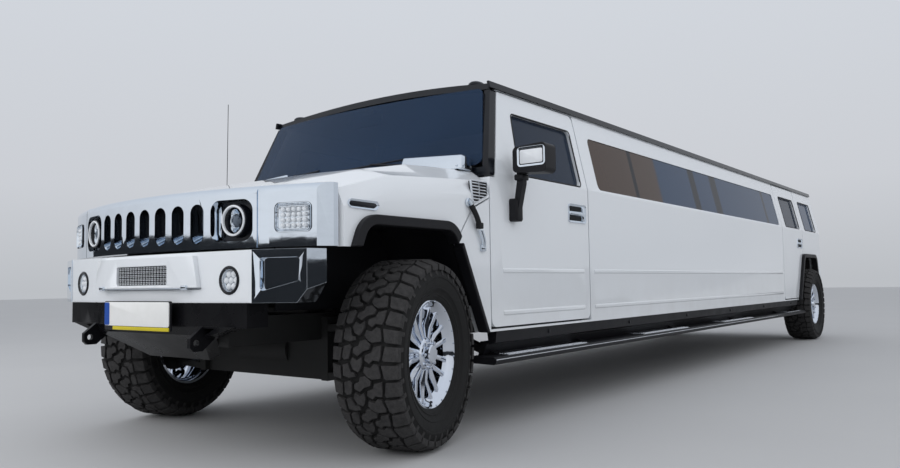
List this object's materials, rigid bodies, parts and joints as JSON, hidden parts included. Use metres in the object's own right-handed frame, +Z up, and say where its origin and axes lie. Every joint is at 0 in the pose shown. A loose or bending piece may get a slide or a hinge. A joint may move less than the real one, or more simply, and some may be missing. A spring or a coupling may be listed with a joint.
{
  "type": "stretch limousine",
  "caption": "Lengthened off-road limousine with turning wheels, steering, hinged doors, a tilting hood and a tailgate; hollow cab and saloon.",
  "frame": {"origin": "on the ground under the middle of the vehicle's length and width", "axes": "+X to the vehicle's left, +Y to its rear, +Z up"},
  "size_m": [2.492, 9.432, 1.9398],
  "materials": {
    "white_paint": "gloss",
    "chrome": "polished",
    "vent_chrome": "polished",
    "rear_chrome": "polished",
    "wheel_chrome": "polished",
    "tyre_rubber": "matte",
    "tinted_glass": "tinted",
    "black_plastic": "satin",
    "underbody_steel": "matte",
    "lamp_glass": "clear",
    "tail_glass": "gloss",
    "cab_leather": "grained",
    "cab_plastic": "grained",
    "saloon_panel": "satin",
    "saloon_leather": "grained",
    "bar_wood": "lacquered"
  },
  "bodies": {
    "root": {"body_sides": "white_paint", "roof": "white_paint", "front_bumper": "white_paint", "grille_shell": "chrome", "bumper_ends": "chrome", "windscreen": "tinted_glass", "side_glass": "tinted_glass", "rocker_covers": "black_plastic", "roof_rails": "black_plastic", "lower_bumper": "black_plastic", "running_boards": "black_plastic", "wheel_flares": "black_plastic", "windscreen_frame": "black_plastic", "front_liners": "black_plastic", "frame_rails": "underbody_steel", "cross_members": "underbody_steel", "radiator": "underbody_steel", "front_axle": "underbody_steel", "rear_axle": "underbody_steel", "drive_line": "underbody_steel", "exhaust": "underbody_steel", "engine_block": "underbody_steel", "floor_pan": "underbody_steel", "front_lamps": "lamp_glass", "tail_lamps": "tail_glass", "rear_bumper": "rear_chrome", "front_seats": "cab_leather", "dashboard": "cab_plastic", "partition": "saloon_panel", "lounge_seats": "saloon_leather", "bar_cabinet": "bar_wood"},
    "hood": {"hood": "white_paint", "hood_flares": "black_plastic", "hood_vents": "vent_chrome"},
    "tailgate": {"tailgate": "white_paint", "tailgate_glass": "tinted_glass"},
    "knuckle_left": {"knuckle_left": "underbody_steel"},
    "knuckle_right": {"knuckle_right": "underbody_steel"},
    "front_door_left": {"front_door_left": "white_paint", "front_door_glass_left": "tinted_glass", "mirror_left": "chrome"},
    "rear_door_left": {"rear_door_left": "white_paint", "rear_door_glass_left": "tinted_glass"},
    "front_door_right": {"front_door_right": "white_paint", "front_door_glass_right": "tinted_glass", "mirror_right": "chrome"},
    "rear_door_right": {"rear_door_right": "white_paint", "rear_door_glass_right": "tinted_glass"},
    "wheel_front_left": {"rim_front_left": "wheel_chrome", "tyre_front_left": "tyre_rubber"},
    "wheel_front_right": {"rim_front_right": "wheel_chrome", "tyre_front_right": "tyre_rubber"},
    "wheel_rear_left": {"rim_rear_left": "wheel_chrome", "tyre_rear_left": "tyre_rubber"},
    "wheel_rear_right": {"rim_rear_right": "wheel_chrome", "tyre_rear_right": "tyre_rubber"}
  },
  "joints": [
    {"name": "steer_left", "type": "hinge", "parent": "root", "child": "knuckle_left", "pos_m": [0.877, -3.874, 0.44], "axis": [0, 0, 1], "range_deg": [-41, 15]},
    {"name": "roll_front_left", "type": "hinge", "parent": "knuckle_left", "child": "wheel_front_left", "pos_m": [0.92085, -3.86388, 0.44], "axis": [0.9744, 0.225, 0], "continuous": true},
    {"name": "roll_rear_left", "type": "hinge", "parent": "root", "child": "wheel_rear_left", "pos_m": [0.922, 3.916, 0.44], "axis": [1, 0, 0], "continuous": true},
    {"name": "front_door_left_hinge", "type": "hinge", "parent": "root", "child": "front_door_left", "pos_m": [0.988, -3.308, 0.91], "axis": [0, 0, -1], "range_deg": [0, 65]},
    {"name": "rear_door_left_hinge", "type": "hinge", "parent": "root", "child": "rear_door_left", "pos_m": [0.988, 2.664, 0.91], "axis": [0, 0, -1], "range_deg": [0, 65]},
    {"name": "steer_right", "type": "hinge", "parent": "root", "child": "knuckle_right", "pos_m": [-0.877, -3.874, 0.44], "axis": [0, 0, 1], "range_deg": [-41, 15]},
    {"name": "roll_front_right", "type": "hinge", "parent": "knuckle_right", "child": "wheel_front_right", "pos_m": [-0.92085, -3.88412, 0.44], "axis": [0.9744, 0.225, 0], "continuous": true},
    {"name": "roll_rear_right", "type": "hinge", "parent": "root", "child": "wheel_rear_right", "pos_m": [-0.922, 3.916, 0.44], "axis": [1, 0, 0], "continuous": true},
    {"name": "front_door_right_hinge", "type": "hinge", "parent": "root", "child": "front_door_right", "pos_m": [-0.988, -3.308, 0.91], "axis": [0, 0, 1], "range_deg": [0, 65]},
    {"name": "rear_door_right_hinge", "type": "hinge", "parent": "root", "child": "rear_door_right", "pos_m": [-0.988, 2.664, 0.91], "axis": [0, 0, 1], "range_deg": [0, 65]},
    {"name": "hood_hinge", "type": "hinge", "parent": "root", "child": "hood", "pos_m": [0, -4.55496, 1.174], "axis": [1, 0, 0], "range_deg": [0, 55]},
    {"name": "tailgate_hinge", "type": "hinge", "parent": "root", "child": "tailgate", "pos_m": [0, 4.582, 1.868], "axis": [1, 0, 0], "range_deg": [0, 80]}
  ],
  "couplings": [
    {"joint": "steer_right", "follows": "steer_left", "ratio": 1}
  ]
}
